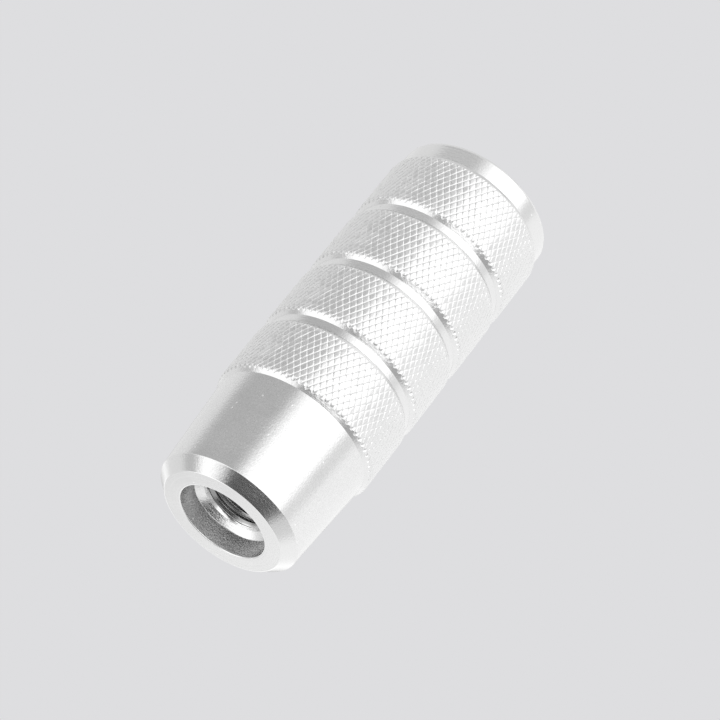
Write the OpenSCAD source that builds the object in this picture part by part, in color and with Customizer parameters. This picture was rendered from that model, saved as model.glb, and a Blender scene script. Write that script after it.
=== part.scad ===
// Cylindrical gear shift knob, turned and knurled from one piece of aluminium bar.
// The axis is Z. The mouth that screws onto the lever is at z = 0 and faces down,
// and the closed top is at z = knob_l.

/* [Grip] */
// Diameter over the knurled bands
grip_d = 30; // [28:0.5:36]
// Number of knurled bands
band_count = 4; // [2:1:5]
// Length of one knurled band
band_l = 10.6; // [7:0.1:13]
// Depth of the grooves below the bands
groove_depth = 0.7; // [0.5:0.05:1]
// Length of the smooth floor of a groove
groove_floor_l = 1.4; // [0.8:0.1:4]
// Length of the bevel on the mouth side of a band
lower_bevel_l = 0.85; // [0.5:0.05:1.2]
// Length of the bevel on the top side of a band
upper_bevel_l = 1.05; // [0.5:0.05:1.5]

/* [Knurl] */
// Number of knurl lines that start round the grip, for each hand of the diamond pattern
knurl_starts = 60; // [40:1:70]
// Angle between the knurl lines and the axis, in degrees
knurl_angle = 31; // [25:1:40]
// Depth of the knurl from the tips of its diamonds to where its lines cross
knurl_depth = 0.4; // [0.2:0.05:0.45]

/* [Shank] */
// Length of the smooth shank below the grip
shank_l = 20; // [14:0.5:40]
// How much narrower the shank is in diameter at its mouth end
shank_taper = 2.2; // [0:0.1:3]
// Diameter of the flat mouth face
face_d = 22.4; // [20:0.2:23]
// Length of the chamfer between the mouth face and the shank
mouth_chamfer_l = 2; // [1:0.1:3]

/* [Top] */
// Length of the smooth band above the grip
top_band_l = 3.8; // [2:0.1:8]
// Radius of the rounded top edge
top_edge_r = 0.7; // [0.4:0.1:1.5]

/* [Mouth] */
// Diameter of the recess at the mouth face
recess_d = 16.2; // [15.6:0.1:17]
// Depth of the recess in the mouth
recess_depth = 4.45; // [3.5:0.05:8]
// Draft of the recess wall, in degrees
recess_draft = 8; // [0:0.5:9]
// Radius of the round corner at the recess floor
recess_corner_r = 1; // [0.5:0.1:1.2]
// Width of the small bevels that break the sharp edges round the mouth
edge_break = 0.15; // [0.05:0.05:0.3]

/* [Thread] */
// Drilled diameter that the lever thread is tapped in, 10.7 for M12x1.25
tap_drill_d = 10.7; // [8.5:0.1:10.8]
// Diameter of the countersink at the start of the thread
thread_entry_d = 12.8; // [11.4:0.1:13]
// Depth of the drilled hole from the mouth face, without its drill point
drill_depth = 35; // [20:1:40]
// Angle of the drill point, in degrees
drill_point_angle = 118; // [90:2:140]

/* [Hidden] */
$fn = 96;
// Overlap of cutting and joined shapes, so that no two faces coincide
over = 0.4;

grip_r = grip_d / 2;
groove_r = grip_r - groove_depth;
face_r = face_d / 2;
shank_mouth_r = groove_r - shank_taper / 2;
groove_l = upper_bevel_l + groove_floor_l + lower_bevel_l;
band_pitch = band_l + groove_l;
grip_start = shank_l + lower_bevel_l;
grip_end = grip_start + band_count * band_pitch - groove_l;
knob_l = grip_end + upper_bevel_l + top_band_l;

// The knurl is a net of tips and crossings, half a diamond apart round and along the band
knurl_columns = 2 * knurl_starts;
knurl_half_width = PI * grip_r / knurl_starts;
knurl_rows = round(band_l * tan(knurl_angle) / knurl_half_width);

recess_r = recess_d / 2;
recess_wall_l = recess_depth - recess_corner_r;
recess_floor_r = recess_r - recess_wall_l * tan(recess_draft) - recess_corner_r;
tap_r = tap_drill_d / 2;
thread_entry_r = thread_entry_d / 2;
thread_start = recess_depth + thread_entry_r - tap_r;
drill_tip = drill_depth + tap_r / tan(drill_point_angle / 2);

// The point at a distance from one point on the way to another
function toward(from, to, distance) = from + distance * (to - from) / norm(to - from);

// Half section of the turned blank without its bands: radius along X, height along Y
module blank_section() {
    face_edge = [face_r, 0];
    shank_edge = [shank_mouth_r, mouth_chamfer_l];
    shank_top = [groove_r, shank_l];
    difference() {
        polygon([
            [0, 0],
            toward(face_edge, [0, 0], edge_break),
            toward(face_edge, shank_edge, edge_break),
            toward(shank_edge, face_edge, edge_break),
            toward(shank_edge, shank_top, edge_break),
            shank_top,
            [groove_r, knob_l],
            [0, knob_l],
        ]);
        // Round top edge
        translate([groove_r - top_edge_r, knob_l - top_edge_r])
            difference() {
                square(top_edge_r + over);
                circle(top_edge_r);
            }
    }
}

// Half section of the mouth recess, the thread countersink and the drilled hole
module bore_section() {
    polygon([
        [0, -over],
        [recess_r + edge_break + over, -over],
        [recess_r, edge_break],
        [recess_floor_r + recess_corner_r, recess_wall_l],
        [recess_floor_r, recess_wall_l],
        [recess_floor_r, recess_depth],
        [thread_entry_r, recess_depth],
        [tap_r, thread_start],
        [tap_r, drill_depth],
        [0, drill_tip],
    ]);
    // Round corner between the recess wall and floor
    translate([recess_floor_r, recess_wall_l])
        circle(recess_corner_r);
}

// Tips and crossings alternate like the squares of a chessboard
function is_tip(column, row) = (column + row) % 2 == 1;

// Depth below the tips at one place of the net
function net_depth(column, row) = is_tip(column, row) ? 0 : knurl_depth;

// Height of one place of the net. The first and last rows lie on the cones of the bevels,
// so a crossing there is further out than the tips beside it.
function net_height(column, row) =
    row == 0 ? -lower_bevel_l * net_depth(column, row) / groove_depth
    : row == knurl_rows ? band_l + upper_bevel_l * net_depth(column, row) / groove_depth
    : band_l * row / knurl_rows;

// A point at one column of the net, at a depth below the tips and a height above the band's start
function net_point(column, depth, height) =
    let (angle = 360 * column / knurl_columns, r = grip_r - depth)
    [r * cos(angle), r * sin(angle), height];

// Two triangles between neighbouring columns and rings. The diagonal joins the two
// crossings, so it is a line of the knurl.
function net_cell(column, ring) =
    let (
        next = (column + 1) % knurl_columns,
        a = ring * knurl_columns + column,
        b = ring * knurl_columns + next,
        c = b + knurl_columns,
        d = a + knurl_columns
    )
    is_tip(column, ring - 1) ? [[a, d, b], [d, c, b]] : [[a, d, c], [a, c, b]];

// One band with its diamond knurl and its two bevels, standing on z = 0 with its widest part.
// Its feet reach into the blank.
module knurled_band() {
    foot_depth = groove_depth + over;
    foot_share = foot_depth / groove_depth;
    columns = [0 : knurl_columns - 1];
    lower_foot = [for (i = columns) net_point(i, foot_depth, -lower_bevel_l * foot_share)];
    net = [
        for (row = [0 : knurl_rows], i = columns)
            net_point(i, net_depth(i, row), net_height(i, row))
    ];
    upper_foot = [for (i = columns) net_point(i, foot_depth, band_l + upper_bevel_l * foot_share)];
    last_ring = knurl_rows + 2;
    sides = [for (ring = [0 : last_ring - 1], i = columns) each net_cell(i, ring)];
    lower_end = [for (i = columns) i];
    upper_end = [for (i = columns) (last_ring + 1) * knurl_columns - 1 - i];
    polyhedron(concat(lower_foot, net, upper_foot), concat(sides, [lower_end, upper_end]));
}

// The whole knob: one solid
module knob_body() {
    color("silver")
        difference() {
            union() {
                rotate_extrude()
                    blank_section();
                for (i = [0 : band_count - 1])
                    translate([0, 0, grip_start + i * band_pitch])
                        knurled_band();
            }
            rotate_extrude()
                bore_section();
        }
}

knob_body();
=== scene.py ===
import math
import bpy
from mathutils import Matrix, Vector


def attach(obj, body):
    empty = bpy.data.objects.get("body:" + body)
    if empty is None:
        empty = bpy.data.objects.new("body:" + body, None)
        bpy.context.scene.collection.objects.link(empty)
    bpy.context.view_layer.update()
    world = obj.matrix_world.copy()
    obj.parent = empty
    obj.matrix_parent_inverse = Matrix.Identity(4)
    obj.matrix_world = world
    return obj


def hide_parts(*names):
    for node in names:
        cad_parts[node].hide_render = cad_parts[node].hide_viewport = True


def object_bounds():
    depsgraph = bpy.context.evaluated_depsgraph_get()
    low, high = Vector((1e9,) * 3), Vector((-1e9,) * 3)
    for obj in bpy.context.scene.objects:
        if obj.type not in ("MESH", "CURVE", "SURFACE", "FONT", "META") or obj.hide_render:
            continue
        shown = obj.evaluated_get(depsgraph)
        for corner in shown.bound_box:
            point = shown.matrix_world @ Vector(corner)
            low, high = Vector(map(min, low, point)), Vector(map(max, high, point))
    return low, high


bl_info = {
    "name": "Gear Shift Knob",
    "version": (1, 0, 0),
    "blender": (4, 5, 0),
    "location": "View3D > Sidebar > Knob",
    "description": "Turned aluminium gear shift knob with four knurled bands and a threaded mouth",
    "category": "Add Mesh",
}

import bpy
import numpy as np
from bpy.props import FloatProperty, FloatVectorProperty, IntProperty, PointerProperty
from bpy.types import Operator, Panel, PropertyGroup
from mathutils import Matrix, Vector

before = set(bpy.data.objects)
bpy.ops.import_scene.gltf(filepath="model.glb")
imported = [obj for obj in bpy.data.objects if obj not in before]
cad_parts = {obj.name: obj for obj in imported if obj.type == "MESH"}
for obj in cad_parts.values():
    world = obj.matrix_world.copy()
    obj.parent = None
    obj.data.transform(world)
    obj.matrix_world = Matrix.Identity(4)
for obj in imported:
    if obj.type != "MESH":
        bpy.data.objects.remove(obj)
CAD_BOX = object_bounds()
NODE = "knob_body"
MM = 0.001


# Sizes and colours


class KnobSizes(PropertyGroup):
    """Sizes of the knob, in metres; the outside ones follow the solid's own box."""

    grip_diameter: FloatProperty(
        name="Grip diameter",
        description="Diameter over the tips of the knurl",
        default=CAD_BOX[1][0] - CAD_BOX[0][0],
        unit="LENGTH",
    )
    length: FloatProperty(
        name="Length",
        description="Height from the mouth face to the top face",
        default=CAD_BOX[1][2] - CAD_BOX[0][2],
        unit="LENGTH",
    )
    groove_depth: FloatProperty(
        name="Groove depth",
        description="Depth of the plain grooves under the knurl's tips",
        default=0.0007,
        unit="LENGTH",
    )
    shank_length: FloatProperty(
        name="Shank length",
        description="Height at which the lowest band's bevel starts",
        default=0.020,
        unit="LENGTH",
    )
    shank_taper: FloatProperty(
        name="Shank taper",
        description="How much narrower the shank is at its chamfer, in diameter",
        default=0.0022,
        unit="LENGTH",
    )
    band_count: IntProperty(
        name="Bands",
        description="Number of knurled bands",
        default=4,
        min=1,
    )
    band_length: FloatProperty(
        name="Band length",
        description="Length of each knurled band between its bevels",
        default=0.0106,
        unit="LENGTH",
    )
    band_spacing: FloatProperty(
        name="Band spacing",
        description="Distance from one band to the next",
        default=0.0139,
        unit="LENGTH",
    )
    lower_bevel: FloatProperty(
        name="Lower bevel",
        description="Length of the bevel at a band's end toward the mouth",
        default=0.00085,
        unit="LENGTH",
    )
    upper_bevel: FloatProperty(
        name="Upper bevel",
        description="Length of the bevel at a band's end toward the top",
        default=0.00105,
        unit="LENGTH",
    )
    knurl_starts: IntProperty(
        name="Knurl lines",
        description="Number of knurl lines of each hand round the bar",
        default=75,
        min=12,
    )
    knurl_angle: FloatProperty(
        name="Knurl angle",
        description="Angle between a knurl line and the knob's axis",
        default=math.radians(31.4),
        subtype="ANGLE",
    )
    knurl_depth: FloatProperty(
        name="Knurl depth",
        description="Depth of the knurl lines",
        default=0.00005,
        unit="LENGTH",
    )
    knurl_crown: FloatProperty(
        name="Knurl crown",
        description="Fall of each knurl point from its middle to its sides",
        default=0.000015,
        unit="LENGTH",
    )
    knurl_lean: FloatProperty(
        name="Knurl lean",
        description="Height by which the most leaning knurl points lean across their width",
        default=0.00008,
        unit="LENGTH",
    )
    knurl_inset: FloatProperty(
        name="Knurl inset",
        description="How far the middle of a knurl point lies under the grip's full radius",
        default=0.00003,
        unit="LENGTH",
    )
    tooth_depth: FloatProperty(
        name="Tooth depth",
        description="Depth of the knurl lines where they run out over the bevels",
        default=0.0002,
        unit="LENGTH",
    )
    face_diameter: FloatProperty(
        name="Mouth face diameter",
        description="Outside diameter of the flat ring at the mouth",
        default=0.0224,
        unit="LENGTH",
    )
    mouth_chamfer: FloatProperty(
        name="Mouth chamfer",
        description="Height of the chamfer round the mouth",
        default=0.002,
        unit="LENGTH",
    )
    recess_diameter: FloatProperty(
        name="Recess diameter",
        description="Diameter of the recess where it opens in the mouth face",
        default=0.0162,
        unit="LENGTH",
    )
    recess_wall: FloatProperty(
        name="Recess wall",
        description="Height at which the wall of the recess meets its cone",
        default=0.00345,
        unit="LENGTH",
    )
    recess_draft: FloatProperty(
        name="Recess draft",
        description="Lean of the recess wall toward the axis",
        default=math.radians(8),
        subtype="ANGLE",
    )
    cone_rise: FloatProperty(
        name="Cone rise",
        description="Slope of the recess's cone above the level, as a 118 degree drill leaves it",
        default=math.radians(31),
        subtype="ANGLE",
    )
    cone_width: FloatProperty(
        name="Cone width",
        description="Width of the recess's cone, measured toward the axis",
        default=0.00133,
        unit="LENGTH",
    )
    lip_width: FloatProperty(
        name="Lip width",
        description="Width of the steep lip between the recess's cone and the thread",
        default=0.00018,
        unit="LENGTH",
    )
    lip_height: FloatProperty(
        name="Lip height",
        description="Height of the steep lip between the recess's cone and the thread",
        default=0.00031,
        unit="LENGTH",
    )
    thread_diameter: FloatProperty(
        name="Thread diameter",
        description="Diameter over the roots of the lever thread",
        default=0.012,
        unit="LENGTH",
    )
    thread_pitch: FloatProperty(
        name="Thread pitch",
        description="Rise of the lever thread in one turn",
        default=0.00125,
        unit="LENGTH",
    )
    drill_diameter: FloatProperty(
        name="Drill diameter",
        description="Diameter of the drilled hole that is threaded",
        default=0.0107,
        unit="LENGTH",
    )
    drill_depth: FloatProperty(
        name="Drill depth",
        description="Depth of the drilled hole above the mouth face",
        default=0.035,
        unit="LENGTH",
    )
    drill_point: FloatProperty(
        name="Drill point",
        description="Angle of the cone at the bottom of the drilled hole",
        default=math.radians(118),
        subtype="ANGLE",
    )
    thread_clearance: FloatProperty(
        name="Thread clearance",
        description="Length of plain hole between the thread's end and the drill point",
        default=0.004,
        unit="LENGTH",
    )


class KnobFinish(PropertyGroup):
    """Colour and gloss of the metal."""

    metal_colour: FloatVectorProperty(
        name="Aluminium",
        description="Colour of the bare aluminium",
        subtype="COLOR",
        size=3,
        default=(0.78, 0.78, 0.78),
        min=0.0,
        max=1.0,
    )
    turned_roughness: FloatProperty(
        name="Turned roughness",
        description="Roughness of the turned faces",
        default=0.2,
        min=0.0,
        max=1.0,
        subtype="FACTOR",
    )
    knurl_roughness: FloatProperty(
        name="Knurl roughness",
        description="Roughness of the pressed knurl",
        default=0.3,
        min=0.0,
        max=1.0,
        subtype="FACTOR",
    )
    grain_height: FloatProperty(
        name="Grain height",
        description="Height of the metal's fine grain",
        default=0.00002,
        precision=6,
        unit="LENGTH",
    )


class KnobStudio(PropertyGroup):
    """Place of the camera and tone of the studio."""

    camera_distance: FloatProperty(
        name="Camera distance",
        description="Distance from the camera to the point that it aims at",
        default=0.521,
        unit="LENGTH",
    )
    camera_elevation: FloatProperty(
        name="Camera elevation",
        description="Angle of the camera above the floor, negative from below",
        default=math.radians(-30.88),
        subtype="ANGLE",
    )
    camera_roll: FloatProperty(
        name="Camera roll",
        description="Turn of the camera about its line of sight",
        default=math.radians(38.46),
        subtype="ANGLE",
    )
    camera_aim: FloatVectorProperty(
        name="Camera aim",
        description="Point that the camera looks at",
        subtype="XYZ",
        unit="LENGTH",
        size=3,
        default=(0.00118, 0.0, 0.0396),
    )
    camera_lens: FloatProperty(
        name="Camera lens",
        description="Focal length in millimetres for a 36 mm wide sensor",
        default=156.8,
    )
    backdrop_colour: FloatVectorProperty(
        name="Backdrop",
        description="Colour of the backdrop behind the knob",
        subtype="COLOR",
        size=3,
        default=(0.73, 0.73, 0.745),
        min=0.0,
        max=1.0,
    )
    lamp_power: FloatProperty(
        name="Lamp power",
        description="Power of the soft box lamp in watts",
        default=0.4,
        min=0.0,
    )
    floor_colour: FloatVectorProperty(
        name="Floor",
        description="Colour of the floor under the knob",
        subtype="COLOR",
        size=3,
        default=(0.78, 0.78, 0.795),
        min=0.0,
        max=1.0,
    )


# Shape helpers


def rounded_profile(corners, radii, steps=5, guard=0.08):
    """Line through the corners (radius, height), with each corner turned into an arc.

    A corner whose sides meet at the angle 2h gets an arc of radius r that starts r / tan(h) before
    it and whose centre lies r / sin(h) along the bisector. A guard point just outside each end of
    the arc keeps the flats beside it evenly shaded.
    """
    corners = np.asarray(corners, float)
    line = [corners[:1]]
    for before, corner, after, radius in zip(corners[:-2], corners[1:-1], corners[2:], radii):
        to_before, to_after = before - corner, after - corner
        space = min(np.linalg.norm(to_before), np.linalg.norm(to_after))
        to_before /= np.linalg.norm(to_before)
        to_after /= np.linalg.norm(to_after)
        half = math.acos(np.clip(to_before @ to_after, -1, 1)) / 2
        reach = radius / math.tan(half)
        bisector = (to_before + to_after) / np.linalg.norm(to_before + to_after)
        centre = corner + bisector * radius / math.sin(half)
        first, last = corner + to_before * reach - centre, corner + to_after * reach - centre
        turn = np.linspace(0, 1, steps)[:, None]
        sweep = math.pi - 2 * half
        arc = (np.sin((1 - turn) * sweep) * first + np.sin(turn * sweep) * last) / math.sin(sweep)
        ease = min(guard, (space / 2 - reach) / 2)
        ends = [corner + to_before * (reach + ease)], [corner + to_after * (reach + ease)]
        line += [ends[0], centre + arc, ends[1]]
    line.append(corners[-1:])
    return np.vstack(line)


# Steps per millimetre at which points of a mesh count as one
MERGE_STEPS = 1e5


def ring_mesh(name, radius, height, sway=0.0, centre_radius=None, knurled=None):
    """Closed mesh from a grid of radii and heights: one row per profile point, one column per angle.

    Point (i, j) stands at x = r cos(a), y = r sin(a), z = h with a = 2 pi (j / columns + sway). Each
    square of the grid is cut along the diagonal that lies nearer to the true surface, given by
    centre_radius. Points that fall together are made one and squares that close up are left out.
    """
    rows, columns = radius.shape
    angle = 2 * math.pi * (np.linspace(0, 1, columns) + sway)
    points = np.stack([radius * np.cos(angle), radius * np.sin(angle), height], axis=-1).reshape(-1, 3)
    corner = np.arange(rows * columns).reshape(rows, columns)
    a, b = corner[:-1, :-1], corner[:-1, 1:]
    d, c = corner[1:, :-1], corner[1:, 1:]
    if centre_radius is None:
        along = np.ones(a.shape, bool)
    else:
        rising = (radius[:-1, :-1] + radius[1:, 1:]) / 2
        falling = (radius[:-1, 1:] + radius[1:, :-1]) / 2
        along = np.abs(rising - centre_radius) <= np.abs(falling - centre_radius)
    first = np.where(along[..., None], np.stack([a, b, c], -1), np.stack([a, b, d], -1))
    second = np.where(along[..., None], np.stack([a, c, d], -1), np.stack([b, c, d], -1))
    faces = np.concatenate([first.reshape(-1, 3), second.reshape(-1, 3)])
    keys = np.rint(points * MERGE_STEPS).astype(np.int64)
    _, kept, place = np.unique(keys, axis=0, return_index=True, return_inverse=True)
    faces = place.reshape(-1)[faces]
    open_face = (faces[:, 0] != faces[:, 1]) & (faces[:, 1] != faces[:, 2]) & (faces[:, 2] != faces[:, 0])
    mesh = new_mesh(name, points[kept] * MM, faces[open_face])
    if knurled is not None:
        layer = mesh.attributes.new("knurled", "FLOAT", "POINT")
        layer.data.foreach_set("value", knurled.reshape(-1)[kept].astype(np.float32))
    return mesh


def new_mesh(name, points, faces):
    """Mesh of triangles from arrays of points in metres and of point numbers."""
    mesh = bpy.data.meshes.new(name)
    mesh.vertices.add(len(points))
    mesh.vertices.foreach_set("co", points.astype(np.float32).ravel())
    mesh.loops.add(faces.size)
    mesh.loops.foreach_set("vertex_index", faces.astype(np.int32).ravel())
    mesh.polygons.add(len(faces))
    mesh.polygons.foreach_set("loop_start", np.arange(0, faces.size, 3, dtype=np.int32))
    mesh.update(calc_edges=True)
    if mesh.validate():
        raise RuntimeError(f"{name} has a face that is not sound")
    mesh.polygons.foreach_set("use_smooth", np.ones(len(faces), bool))
    return mesh


def add_piece(mesh, material, sharp_angle):
    """Object for a finished mesh, riding on the knob and standing for its solid."""
    mesh.set_sharp_from_angle(angle=math.radians(sharp_angle))
    mesh.materials.append(material)
    piece = bpy.data.objects.new(mesh.name, mesh)
    bpy.context.scene.collection.objects.link(piece)
    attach(piece, "root")
    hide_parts(NODE)
    return piece


def add_stage(obj):
    """Puts a stage object, which is no part of the knob, into the scene."""
    bpy.context.scene.collection.objects.link(obj)
    return obj


# Turned body


# Corners of the thread's section, as shares of the pitch and of the thread's depth
THREAD_CORNERS = np.array([0.0, 0.10, 0.15, 0.41, 0.46, 0.54, 0.59, 0.85, 0.90, 1.0])
THREAD_DEPTHS = np.array([0.0, 0.0, 0.06, 0.94, 1.0, 1.0, 0.94, 0.06, 0.0, 0.0])
# Share of a turn by which the section is ahead where the thread comes out in the recess
THREAD_START = 0.55
# Number of pitches over which the thread runs out at its top
RUN_OUT = 1.5
# Fall of the entry cone's radius for each millimetre of height
ENTRY_FALL = 1.9


def thread_wall(sizes, bottom, top, lip, turn):
    """Radii and heights of the threaded wall between two heights.

    Every row climbs one pitch in a turn: h = bottom + pitch * (k + f + a / 2 pi - 1 - start), held
    between the two ends, with f a corner of the thread's section. The radius is the largest of the
    drilled wall, the entry cone, lip - fall * (h - bottom), and the thread: a flat crest at the drilled
    wall, flanks at 30 degrees and a flat root, which run out toward the top.
    """
    pitch = sizes.thread_pitch / MM
    crest = sizes.drill_diameter / MM / 2
    root = sizes.thread_diameter / MM / 2
    count = math.ceil((top - bottom) / pitch) + 2
    climb = (np.arange(count)[:, None] + THREAD_CORNERS[:-1]).reshape(-1)
    climb = np.append(climb, count)
    height = np.clip(bottom + pitch * (climb[:, None] + turn - 1 - THREAD_START), bottom, top)
    phase = np.mod((height - bottom) / pitch - turn + THREAD_START, 1.0)
    depth = np.interp(phase, THREAD_CORNERS, THREAD_DEPTHS)
    run_out = np.clip((top - height) / (RUN_OUT * pitch), 0, 1)
    thread = crest + (root - crest) * depth * run_out
    entry = lip - ENTRY_FALL * (height - bottom)
    return np.maximum(thread, np.maximum(entry, crest)), height


# Rounding in mm of the top edge, the shank's upper end, both ends of the chamfer, the mouth's edge,
# and the two ends of the recess's cone
EDGE_RADII = (0.7, 0.01, 0.16, 0.3, 0.2, 0.15, 0.05)
# Rounding in mm where the drilled wall meets the drill point
DRILL_CORNER_RADIUS = 0.1
# Length in mm of plain wall above the thread's end before the next ring of points
PLAIN_WALL_START = 0.2


def turned_body_mesh(sizes, columns=256):
    """The bar without its knurl: one closed surface from the top face down and up into the hole.

    The outside is a line of (radius, height) corners with small edge breaks, carried round the axis;
    the recess ends in a drill point's cone and a broken lip, and the threaded wall follows its helix.
    """
    grip = sizes.grip_diameter / MM / 2
    length = sizes.length / MM
    neck = grip - sizes.groove_depth / MM
    foot = sizes.shank_length / MM
    mouth = neck - sizes.shank_taper / MM / 2
    face = sizes.face_diameter / MM / 2
    recess = sizes.recess_diameter / MM / 2
    corner = sizes.recess_wall / MM
    floor = recess - corner * math.tan(sizes.recess_draft)
    ring = floor - sizes.cone_width / MM
    ring_height = corner + sizes.cone_width / MM * math.tan(sizes.cone_rise)
    lip = ring - sizes.lip_width / MM
    lip_height = ring_height + sizes.lip_height / MM
    drill = sizes.drill_diameter / MM / 2
    end = sizes.drill_depth / MM
    tip = end + drill / math.tan(sizes.drill_point / 2)
    outside = rounded_profile(
        [
            (0, length),
            (neck, length),
            (neck, foot),
            (mouth, sizes.mouth_chamfer / MM),
            (face, 0),
            (recess, 0),
            (floor, corner),
            (ring, ring_height),
            (lip, lip_height),
        ],
        EDGE_RADII,
        steps=7,
    )
    turn = np.linspace(0, 1, columns + 1)
    top = end - sizes.thread_clearance / MM
    wall_radius, wall_height = thread_wall(sizes, lip_height, top, lip, turn)
    inside = rounded_profile(
        [(drill, top + PLAIN_WALL_START), (drill, end), (0, tip)],
        [DRILL_CORNER_RADIUS],
        steps=3,
    )
    level = np.ones(columns + 1)
    radius = np.vstack([outside[:, :1] * level, wall_radius, inside[:, :1] * level])
    height = np.vstack([outside[:, 1:] * level, wall_height, inside[:, 1:] * level])
    return ring_mesh("turned_body", radius[::-1], height[::-1])


# Knurled bands


# Depth in mm under the start of the band at which the two families of lines cross
TOOTH_DROP = 0.12
# Powers that give the narrow grooves and the wide ones at the band's ends their section
GROOVE_POWER = 12
TOOTH_POWER = 2.5
# Reach in mm of the wide grooves into the band, and their strength at its upper end
TOOTH_REACH = 0.3
UPPER_TOOTH_SHARE = 0.5
# Share by which the grooves' depth swells and fades over the band
DEPTH_SWELL = 0.2
# Waves of the grooves' depth and of the lines' sway: times round the bar, and length in mm along it
DEPTH_WAVES = ((7, 5.3), (19, -9.1))
SWAY_WAVES = ((3, 17), (11, -7))
# Numbers that scatter the lean of the knurl points along u and along v
U_SCATTER = (12.9898, 43758.5453)
V_SCATTER = (78.233, 24634.6345)
# Step in a knurl point's number from one v to the next, which is more than the number of lines
POINT_STEP = 131


def knurl_pitch(sizes):
    """Distance in mm between knurl lines of one hand along the bar: 2 pi r / (n tan(angle))."""
    return math.pi * sizes.grip_diameter / MM / (sizes.knurl_starts * math.tan(sizes.knurl_angle))


def wave(turn, height, around, length):
    """Sine wave with a whole number of periods round the bar and one in each length along it."""
    return np.sin(2 * math.pi * (around * turn + height / length))


def scatter(number, stretch, spread):
    """Values from -1 to 1 without order, one for each number: 2 frac(sin(number stretch) spread) - 1."""
    return 2 * np.mod(np.sin(number * stretch) * spread, 1) - 1


def knurl_radius(sizes, turn, height, start, stop):
    """Radius of the knurled bar, in mm, at a turn (0 to 1) and a height.

    Two families of lines lie at the whole numbers of u = n t + h / p and v = n t - h / p. With
    a = 1 - 2 |u - nearest whole| (1 on a line, 0 mid way) and b the same for v, the metal stands at
    r - depth (a^12 + b^12) - crown (a^2 + b^2): flat topped points between narrow grooves. Near the
    band's ends the grooves widen to tooth (a^2.5 + b^2.5), where the metal was pushed outwards. Each
    point between the lines leans its own way, by lean (1 - a^4) (1 - b^4) times a sum of its u and v
    from its middle.
    """
    starts = sizes.knurl_starts
    rise = (height - start + TOOTH_DROP) / knurl_pitch(sizes)
    u, v = starts * turn + rise, starts * turn - rise
    near_u = 1 - 2 * np.abs(u - np.rint(u))
    near_v = 1 - 2 * np.abs(v - np.rint(v))
    narrow = sizes.knurl_depth / MM * (near_u**GROOVE_POWER + near_v**GROOVE_POWER)
    broad = sizes.tooth_depth / MM * (near_u**TOOTH_POWER + near_v**TOOTH_POWER)
    lower_end = np.exp(-((np.maximum(height - start, 0) / TOOTH_REACH) ** 2))
    upper_end = UPPER_TOOTH_SHARE * np.exp(-((np.maximum(stop - height, 0) / TOOTH_REACH) ** 2))
    end = np.maximum(lower_end, upper_end)
    broad_wave, fine_wave = (wave(turn, height, *form) for form in DEPTH_WAVES)
    swell = 1 + DEPTH_SWELL * broad_wave * fine_wave
    depth = swell * ((1 - end) * narrow + end * broad)
    crown = sizes.knurl_crown / MM * (near_u**2 + near_v**2)
    point = np.mod(np.floor(u), starts) + POINT_STEP * np.mod(np.floor(v), starts)
    lean_u = scatter(point, *U_SCATTER) * (np.mod(u, 1) - 0.5)
    lean_v = scatter(point, *V_SCATTER) * (np.mod(v, 1) - 0.5)
    lean = sizes.knurl_lean / MM * (lean_u + lean_v) * (1 - near_u**4) * (1 - near_v**4)
    return sizes.grip_diameter / MM / 2 - sizes.knurl_inset / MM - depth - crown + lean


# Depth in mm by which a band's foot reaches into the turned body
BAND_FOOT = 0.3
# Height in mm between the rows of points across the saw teeth, and their distance from the ends
SAW_STEP = 0.06
ROW_GAP = 0.03
# Depths of the saw teeth at the lower and the upper bevel, in tooth depths
LOWER_SAW, UPPER_SAW = 2.1, 1.1
# Turn of each band against the one below it, and of the waves in its lines, in knurl lines
BAND_TURN = 0.37
LINE_SWAY = 0.03


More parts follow.
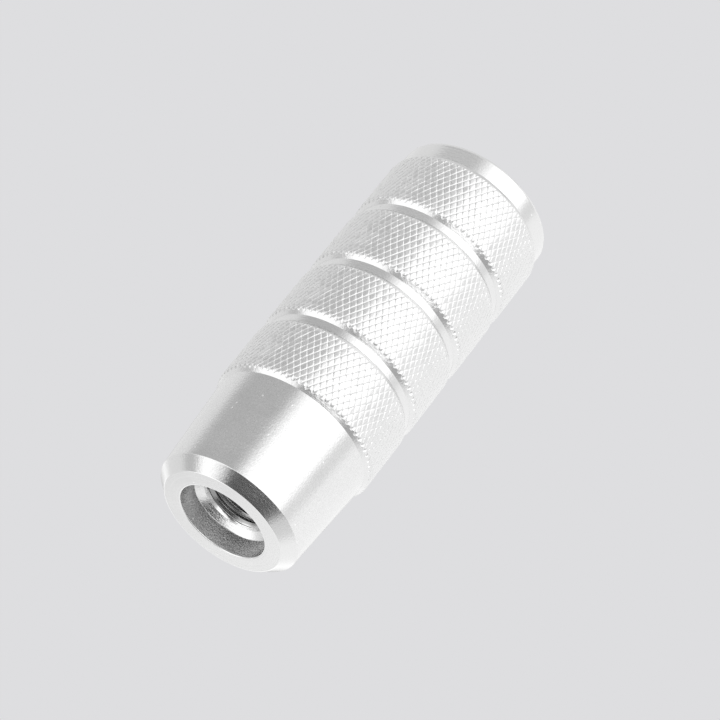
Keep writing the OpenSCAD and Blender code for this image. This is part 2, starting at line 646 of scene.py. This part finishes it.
def knurled_band_mesh(sizes, number, around=12, foot_rows=4):
    """One knurled band: a closed ring whose foot lies inside the turned body.

    Its rows climb from the foot along the lower bevel, over the knurl and down the upper bevel. A
    bevel is the cone r = neck + (h - h0) * groove depth / bevel length; the radius is the lowest of
    both cones and the knurl, so each bevel ends in the knurl's own saw teeth.
    """
    step = sizes.groove_depth / MM
    neck = sizes.grip_diameter / MM / 2 - step
    start = (sizes.shank_length + sizes.lower_bevel + number * sizes.band_spacing) / MM
    stop = start + sizes.band_length / MM
    low, high = sizes.lower_bevel / MM, sizes.upper_bevel / MM
    tooth = sizes.tooth_depth / MM
    columns = sizes.knurl_starts * around + 1
    turn = np.linspace(0, 1, columns)
    part = knurl_pitch(sizes) / around
    rows = start - TOOTH_DROP + np.arange(1, math.ceil(sizes.band_length / MM / part) + 2) * part
    rows = rows[(rows > start + ROW_GAP) & (rows < stop - ROW_GAP)]
    low_saw = np.arange(start - LOWER_SAW * tooth * low / step, start - ROW_GAP, SAW_STEP)
    high_saw = np.arange(stop + UPPER_SAW * tooth * high / step, stop + ROW_GAP, -SAW_STEP)[::-1]
    foot_share = 1 + BAND_FOOT / step
    low_rows = np.linspace(start - low * foot_share, low_saw[0] - SAW_STEP, foot_rows)
    high_rows = np.linspace(high_saw[-1] + SAW_STEP, stop + high * foot_share, foot_rows)
    level = np.concatenate([low_rows, low_saw, [start], rows, [stop], high_saw, high_rows])
    height = level[:, None] * np.ones(columns)

    def surface(turn, height):
        """Radius at a turn and a height, and whether it lies on the knurl."""
        lower_cone = neck + (height - (start - low)) * step / low
        upper_cone = neck + (stop + high - height) * step / high
        cones = np.minimum(lower_cone, upper_cone)
        knurl = knurl_radius(sizes, turn, height, start, stop)
        return np.minimum(knurl, cones), knurl < cones

    radius, knurled = surface(turn, height)
    middle_turn = (turn[:-1] + turn[1:]) / 2
    middle_height = (height[:-1, :-1] + height[1:, :-1]) / 2
    centre = surface(middle_turn, middle_height)[0]
    inner = np.full((1, columns), neck - BAND_FOOT)
    radius = np.vstack([inner, radius, inner, inner])
    height = np.vstack([height[:1], height, height[-1:], height[:1]])
    knurled = np.vstack([inner * 0, knurled, inner * 0, inner * 0])
    centre = np.vstack([centre[:1] * 0, centre, centre[:1] * 0, centre[:1] * 0])
    waves = sum(wave(turn, height, *form) for form in SWAY_WAVES)
    sway = (number * BAND_TURN + LINE_SWAY * waves) / sizes.knurl_starts
    return ring_mesh(f"knurled_band_{number + 1}", radius, height, sway, centre, knurled)


# Materials


class Wires:
    """Shorthand for making and linking the nodes of one tree."""

    def __init__(self, tree):
        self.nodes, self.links = tree.nodes, tree.links

    def feed(self, socket, value):
        """Links a socket to another one, or sets it to a plain value."""
        if isinstance(value, bpy.types.NodeSocket):
            self.links.new(value, socket)
        else:
            socket.default_value = value

    def node(self, kind, inputs=None, **settings):
        """New node with its settings and inputs."""
        node = self.nodes.new(kind)
        for name, value in settings.items():
            setattr(node, name, value)
        for key, value in (inputs or {}).items():
            self.feed(node.inputs[key], value)
        return node

    def math(self, operation, *values):
        """Result of a math node."""
        return self.node("ShaderNodeMath", dict(enumerate(values)), operation=operation).outputs[0]

    def ramp(self, value, start, stop, low=0.0, high=1.0):
        """Soft step from low to high while the value goes from start to stop."""
        inputs = {"Value": value, "From Min": start, "From Max": stop, "To Min": low, "To Max": high}
        return self.node("ShaderNodeMapRange", inputs, interpolation_type="SMOOTHSTEP").outputs["Result"]

    def window(self, value, start, soft_start, stop, soft_stop):
        """1 between start and stop and 0 outside, with soft edges."""
        up = self.ramp(value, start - soft_start, start + soft_start)
        down = self.ramp(value, stop - soft_stop, stop + soft_stop, 1.0, 0.0)
        return self.math("MULTIPLY", up, down)

    def noise(self, place, scale, detail=1.0, dimensions="3D"):
        """Noise from about -0.5 to 0.5, with the scale in waves per metre."""
        inputs = {"Vector": place, "Scale": scale, "Detail": detail}
        node = self.node("ShaderNodeTexNoise", inputs, noise_dimensions=dimensions)
        return self.math("SUBTRACT", node.outputs[0], 0.5)

    def sum(self, *terms):
        """Sum of products, each a pair of a socket and a factor."""
        total = 0.0
        for value, factor in terms:
            total = self.math("MULTIPLY_ADD", value, factor, total)
        return total


# Places on the knob in metres: where each starts, how softly, where it stops, and how softly
BETWEEN_FACES = (0.0001, 0.00008, 0.0779, 0.00008)
HOLE_HEIGHTS = (0.0049, 0.0001, 0.045, 0.001)
RECESS_RADII = (0.0074, 0.0001, 0.0083, 0.0001)
RECESS_HEIGHTS = (0.0002, 0.0001, 0.0034, 0.0001)
SHANK_HEIGHTS = (0.0015, 0.0008, 0.0198, 0.0002)
# Radii in metres between which the hole and the shank come in
HOLE_RADII = (0.0063, 0.0061)
SHANK_RADII = (0.0095, 0.01)
# Fleck's edge as a distance from the middle of its cell, and the chance above which a cell has one
FLECK_EDGE = (0.28, 0.18)
FLECK_CHANCE = (0.965, 0.975)


def bare_aluminium(finish):
    """Bare machined aluminium, worked out from the place on the knob.

    Tool marks are noise in the plane of radius and height, so they run round the axis on every turned
    surface; they are deeper in the hole and on the flat faces, which also swell in broad rings. The
    grain is fine noise in space, stronger on the knurl and the recess wall and weaker on the flat
    faces. Flecks are rare cells of a Voronoi pattern, and a finer noise gives the shank its salt-like
    speckle. Broad noise wears the gloss and tone. The knurled attribute, 1 on pressed metal, takes the
    tool marks away and sets the knurl's own roughness; the hole and the recess wall are rougher, and
    their colour is darkened: painted shade for the shade that falls inside the bore and the recess.
    """
    material = bpy.data.materials.new("bare_aluminium")
    material.use_nodes = True
    wires = Wires(material.node_tree)
    shader = wires.nodes["Principled BSDF"]
    place = wires.node("ShaderNodeTexCoord").outputs["Object"]
    x, y, z = wires.node("ShaderNodeSeparateXYZ", {0: place}).outputs
    radius = wires.math("SQRT", wires.math("MULTIPLY_ADD", x, x, wires.math("MULTIPLY", y, y)))
    section = wires.node("ShaderNodeCombineXYZ", {0: radius, 1: z}).outputs[0]

    knurled = wires.node("ShaderNodeAttribute", attribute_name="knurled").outputs["Fac"]
    turned = wires.math("SUBTRACT", 1.0, knurled)
    flat = wires.math("SUBTRACT", 1.0, wires.window(z, *BETWEEN_FACES))
    # hole and wall mark the threaded bore and the recess wall: there the metal is rougher, and its colour
    # is darkened as painted shade
    hole = wires.math("MULTIPLY", wires.ramp(radius, *HOLE_RADII), wires.window(z, *HOLE_HEIGHTS))
    wall = wires.math("MULTIPLY", wires.window(radius, *RECESS_RADII), wires.window(z, *RECESS_HEIGHTS))
    shank = wires.math("MULTIPLY", wires.window(z, *SHANK_HEIGHTS), wires.ramp(radius, *SHANK_RADII))

    marks = wires.math("MULTIPLY", wires.noise(section, 5200, 2.0, "2D"), turned)
    bands = wires.noise(section, 1400, 2.0, "2D")
    grain = wires.noise(place, 2700, 2.0)
    worn = wires.noise(place, 140, 3.0)
    salt = wires.math("MULTIPLY", wires.noise(place, 4600, 1.0), shank)
    cells = wires.node("ShaderNodeTexVoronoi", {"Vector": place, "Scale": 1500.0})
    chance = wires.node("ShaderNodeSeparateXYZ", {0: cells.outputs["Color"]}).outputs[0]
    fleck = wires.ramp(cells.outputs["Distance"], *FLECK_EDGE)
    fleck = wires.math("MULTIPLY", wires.math("MULTIPLY", fleck, wires.ramp(chance, *FLECK_CHANCE)), turned)

    coarse = wires.sum((knurled, 0.7), (wall, 0.7), (worn, 2.0), (flat, -0.75))
    coarse = wires.math("MULTIPLY", grain, coarse)
    rings = wires.math("MULTIPLY", marks, wires.sum((hole, 0.5), (flat, 0.15)))
    swells = wires.math("MULTIPLY", bands, flat)
    height = wires.sum(
        (marks, 0.3),
        (rings, 1.0),
        (swells, 0.25),
        (grain, 1.0),
        (coarse, 1.0),
        (salt, 0.35),
        (fleck, -1.5),
    )
    bump = wires.node("ShaderNodeBump", {"Height": height, "Distance": finish.grain_height})
    roughness = wires.sum(
        (turned, finish.turned_roughness),
        (knurled, finish.knurl_roughness),
        (hole, 0.02),
        (wall, 0.1),
        (worn, 0.12),
        (bands, 0.04),
    )
    # The hole and wall terms darken the colour as painted shade inside the bore and the recess; the other
    # terms are the metal's own uneven tone
    tone_and_painted_shade = wires.sum(
        (worn, 0.06),
        (grain, 0.05),
        (hole, -0.48),
        (wall, -0.22),
        (fleck, 0.25),
        (salt, 0.32),
    )
    tone = wires.math("ADD", tone_and_painted_shade, 1.0)
    colour = wires.node("ShaderNodeVectorMath", {0: finish.metal_colour, "Scale": tone}, operation="SCALE")
    wires.feed(shader.inputs["Base Color"], colour.outputs[0])
    wires.feed(shader.inputs["Roughness"], roughness)
    wires.feed(shader.inputs["Normal"], bump.outputs[0])
    shader.inputs["Metallic"].default_value = 1.0
    return material


# Studio


PANELS = (
    # name, azimuth from, soft, to, soft, elevation from, soft, to, soft, lean, level
    ("left wall", -106, 7, -10, 7, 13, 7, 80, 7, 1.6, 0.5),
    ("left wall high", -106, 7, -10, 7, 37, 9, 80, 7, 1.6, 0.8),
    ("overhead", -22, 10, 30, 8, 52, 6, 80, 6, 0.0, 1.0),
    ("low fill", -48, 10, -8, 8, -18, 6, 9, 5, 0.0, 1.3),
    ("right gap", 54, 6, 76, 6, 0, 6, 60, 6, 0.0, 0.86),
    ("low right gap", 46, 5, 78, 5, -70, 5, -10, 5, 0.0, 0.45),
    ("right card", 80, 6, 112, 6, -52, 6, -30, 6, 0.0, 0.78),
    ("low gap", -60, 6, 50, 6, -90, 6, -20, 6, 0.0, 0.5),
    ("low left card", -165, 8, -80, 8, -96, 4, -46, 8, 0.0, 1.45),
    ("low right gap under", 50, 6, 124, 6, -96, 4, -54, 5, 0.0, 0.05),
    ("table edge", -50, 5, 72, 5, -96, 4, -51, 4, 0.0, 0.08),
    ("left card", -97, 5, -37, 5, -51, 4, -16, 5, 0.0, 1.35),
    ("left card edge", -118, 5, -98, 5, -42, 6, -14, 6, 0.0, 0.56),
    ("soft box low", -10, 8, 41, 7, -47, 8, 0, 5, 0.0, 1.6),
    ("soft box", -20, 17, 53, 5, -24, 4, 58, 6, 0.0, 1.42),
    ("back gap left", -181, 1, -167, 7, 10, 7, 62, 8, 0.0, 0.6),
    ("back gap right", 167, 7, 181, 1, 10, 7, 62, 8, 0.0, 0.6),
    ("back low left", -181, 1, -150, 8, -44, 5, -21, 5, 0.0, 0.85),
    ("back low right", 150, 8, 181, 1, -44, 5, -21, 5, 0.0, 1.04),
    ("back left", -181, 1, -150, 8, -19, 6, 6, 6, 0.0, 1.35),
    ("back right", 150, 8, 181, 1, -19, 6, 6, 6, 0.0, 1.35),
)


# Elevation in degrees at which a leaning panel stands at its own azimuths
LEAN_PIVOT = 25.0
# Level of the bare tent on its left and on its right, and the two places in x between which it changes
TENT_LEVELS = (0.86, 1.08)
TENT_CHANGE = (-0.03, 0.01)


def tent_material():
    """Emission of the light tent: a pale base, lighter on the right, and soft edged panels.

    A panel fills a window between two azimuths a = atan2(x, -y) and two elevations e = asin(z) of the
    direction from the knob, in degrees; a leaning one shifts its azimuths by lean * (e - pivot).
    """
    material = bpy.data.materials.new("light_tent")
    material.use_nodes = True
    wires = Wires(material.node_tree)
    wires.nodes.clear()
    place = wires.node("ShaderNodeTexCoord").outputs["Object"]
    direction = wires.node("ShaderNodeVectorMath", {0: place}, operation="NORMALIZE").outputs[0]
    x, y, z = wires.node("ShaderNodeSeparateXYZ", {0: direction}).outputs
    front = wires.math("MULTIPLY", y, -1.0)
    azimuth = wires.math("MULTIPLY", wires.math("ARCTAN2", x, front), 180 / math.pi)
    elevation = wires.math("MULTIPLY", wires.math("ARCSINE", z), 180 / math.pi)
    level = wires.ramp(x, *TENT_CHANGE, *TENT_LEVELS)
    for _, left, soft_left, right, soft_right, bottom, soft_bottom, top, soft_top, lean, strength in PANELS:
        leaning = azimuth
        if lean:
            past_pivot = wires.math("SUBTRACT", elevation, LEAN_PIVOT)
            leaning = wires.math("SUBTRACT", azimuth, wires.math("MULTIPLY", past_pivot, lean))
        across = wires.window(leaning, left, soft_left, right, soft_right)
        upright = wires.window(elevation, bottom, soft_bottom, top, soft_top)
        mask = wires.math("MULTIPLY", across, upright)
        level = wires.math("MULTIPLY_ADD", mask, wires.math("SUBTRACT", strength, level), level)
    glow = wires.node("ShaderNodeEmission", {"Color": (1, 1, 1, 1), "Strength": level})
    output = wires.node("ShaderNodeOutputMaterial")
    wires.feed(output.inputs["Surface"], glow.outputs[0])
    material.cycles.emission_sampling = "NONE"
    return material


def light_tent(radius=2.4, rows=12, columns=24):
    """Round tent of soft light about the knob, which the camera looks through.

    Grid of a sphere: x = R cos(e) cos(a), y = R cos(e) sin(a), z = R sin(e), with e from -90 to 90
    degrees and a once round.
    """
    e = np.linspace(-math.pi / 2, math.pi / 2, rows + 1)[:, None]
    across, height = radius / MM * np.cos(e), radius / MM * np.sin(e)
    across[[0, -1]] = 0
    level = np.ones(columns + 1)
    mesh = ring_mesh("light_tent", (across * level)[::-1], (height * level)[::-1])
    mesh.materials.append(tent_material())
    tent = add_stage(bpy.data.objects.new("light_tent", mesh))
    tent.visible_camera = False
    tent.visible_shadow = False
    return tent


def soft_lamp(power):
    """Square soft box lamp before the knob and above it, aimed at the grip."""
    lamp = bpy.data.lights.new("soft_box_lamp", "AREA")
    lamp.shape, lamp.size, lamp.energy = "SQUARE", 0.5, power
    source = bpy.data.objects.new("soft_box_lamp", lamp)
    bpy.context.scene.collection.objects.link(source)
    azimuth, elevation, distance = math.radians(16), math.radians(38), 1.2
    grip = Vector((0, 0, 0.04))
    out = Vector((math.sin(azimuth), -math.cos(azimuth), math.tan(elevation))).normalized()
    source.matrix_world = out.to_track_quat("Z", "Y").to_matrix().to_4x4()
    source.location = grip + out * distance
    source.visible_camera = False
    return source


def pale_world(backdrop):
    """World of the plain pale backdrop, the same in every direction and for every ray."""
    world = bpy.data.worlds.new("pale_world")
    bpy.context.scene.world = world
    world.use_nodes = True
    shader = world.node_tree.nodes["Background"]
    shader.inputs["Color"].default_value = (*backdrop, 1)
    shader.inputs["Strength"].default_value = 1.0


def studio_floor(colour):
    """Pale floor under the knob, which only faces up and lets a camera below it look through."""
    material = bpy.data.materials.new("pale_floor")
    material.use_nodes = True
    wires = Wires(material.node_tree)
    shader = wires.nodes["Principled BSDF"]
    place = wires.node("ShaderNodeTexCoord").outputs["Object"]
    mottle = wires.noise(place, 260, 3.0)
    tone = wires.math("ADD", wires.math("MULTIPLY", mottle, 0.015), 1.0)
    paper = wires.node("ShaderNodeVectorMath", {0: colour, "Scale": tone}, operation="SCALE")
    wires.feed(shader.inputs["Base Color"], paper.outputs[0])
    shader.inputs["Roughness"].default_value = 0.9
    clear = wires.node("ShaderNodeBsdfTransparent")
    from_below = wires.node("ShaderNodeNewGeometry").outputs["Backfacing"]
    mix = wires.node("ShaderNodeMixShader", {0: from_below, 1: shader.outputs[0], 2: clear.outputs[0]})
    wires.feed(wires.nodes["Material Output"].inputs["Surface"], mix.outputs[0])
    reach, level = 1.6, -0.0002
    corners = [(-reach, -reach), (reach, -reach), (reach, reach), (-reach, reach)]
    points = np.array([(*corner, level) for corner in corners])
    mesh = new_mesh("pale_floor", points, np.array([(0, 1, 2), (0, 2, 3)]))
    mesh.materials.append(material)
    floor = add_stage(bpy.data.objects.new("pale_floor", mesh))
    floor.visible_glossy = False
    floor.visible_shadow = False
    return floor


def studio_camera(studio):
    """Camera on a sphere round its aim: azimuth 0 looks along +Y, then raised and rolled."""
    e, roll = studio.camera_elevation, studio.camera_roll
    back = Vector((0, -math.cos(e), math.sin(e)))
    level_up = Vector((0, math.sin(e), math.cos(e)))
    right = Vector((math.cos(roll), 0, 0)) + level_up * math.sin(roll)
    up = back.cross(right)
    camera = bpy.data.objects.new("camera", bpy.data.cameras.new("camera"))
    bpy.context.scene.collection.objects.link(camera)
    camera.data.sensor_width = 36
    camera.data.lens = studio.camera_lens
    camera.data.clip_start, camera.data.clip_end = 0.01, 20
    turned = Matrix((right, up, back)).transposed().to_4x4()
    turned.translation = Vector(studio.camera_aim) + back * studio.camera_distance
    camera.matrix_world = turned
    bpy.context.scene.camera = camera


# Operators and panel


class KNOB_OT_turned_body(Operator):
    """Add the turned bar with its shank, grooves, top, mouth and thread"""

    bl_idname = "knob.turned_body"
    bl_label = "Turned Body"

    def execute(self, context):
        sizes, finish = context.scene.knob_sizes, context.scene.knob_finish
        add_piece(turned_body_mesh(sizes), bare_aluminium(finish), sharp_angle=32)
        return {"FINISHED"}


class KNOB_OT_knurled_bands(Operator):
    """Add the knurled bands"""

    bl_idname = "knob.knurled_bands"
    bl_label = "Knurled Bands"

    def execute(self, context):
        sizes, finish = context.scene.knob_sizes, context.scene.knob_finish
        material = bpy.data.materials.get("bare_aluminium") or bare_aluminium(finish)
        for number in range(sizes.band_count):
            add_piece(knurled_band_mesh(sizes, number), material, sharp_angle=35)
        return {"FINISHED"}


class KNOB_OT_studio(Operator):
    """Add the pale floor, the soft light and the camera"""

    bl_idname = "knob.studio"
    bl_label = "Studio"

    def execute(self, context):
        studio = context.scene.knob_studio
        pale_world(studio.backdrop_colour)
        light_tent()
        soft_lamp(studio.lamp_power)
        studio_floor(studio.floor_colour)
        studio_camera(studio)
        context.scene.view_settings.view_transform = "Standard"
        return {"FINISHED"}


class KNOB_PT_sidebar(Panel):
    """Sidebar panel that lists the knob's pieces and the studio"""

    bl_idname = "KNOB_PT_sidebar"
    bl_label = "Gear Shift Knob"
    bl_space_type = "VIEW_3D"
    bl_region_type = "UI"
    bl_category = "Knob"

    def draw(self, context):
        layout = self.layout
        for operator in (KNOB_OT_turned_body, KNOB_OT_knurled_bands, KNOB_OT_studio):
            layout.operator(operator.bl_idname)


CLASSES = (
    KnobSizes,
    KnobFinish,
    KnobStudio,
    KNOB_OT_turned_body,
    KNOB_OT_knurled_bands,
    KNOB_OT_studio,
    KNOB_PT_sidebar,
)


def register():
    """Makes the classes and the settings known to Blender."""
    for entry in CLASSES:
        bpy.utils.register_class(entry)
    bpy.types.Scene.knob_sizes = PointerProperty(type=KnobSizes)
    bpy.types.Scene.knob_finish = PointerProperty(type=KnobFinish)
    bpy.types.Scene.knob_studio = PointerProperty(type=KnobStudio)


def unregister():
    """Takes the settings and the classes out again."""
    del bpy.types.Scene.knob_studio
    del bpy.types.Scene.knob_finish
    del bpy.types.Scene.knob_sizes
    for entry in reversed(CLASSES):
        bpy.utils.unregister_class(entry)


def main():
    """Registers the add-on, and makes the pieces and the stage."""
    register()
    bpy.ops.knob.turned_body()
    bpy.ops.knob.knurled_bands()
    bpy.ops.knob.studio()


if __name__ == "__main__":
    main()
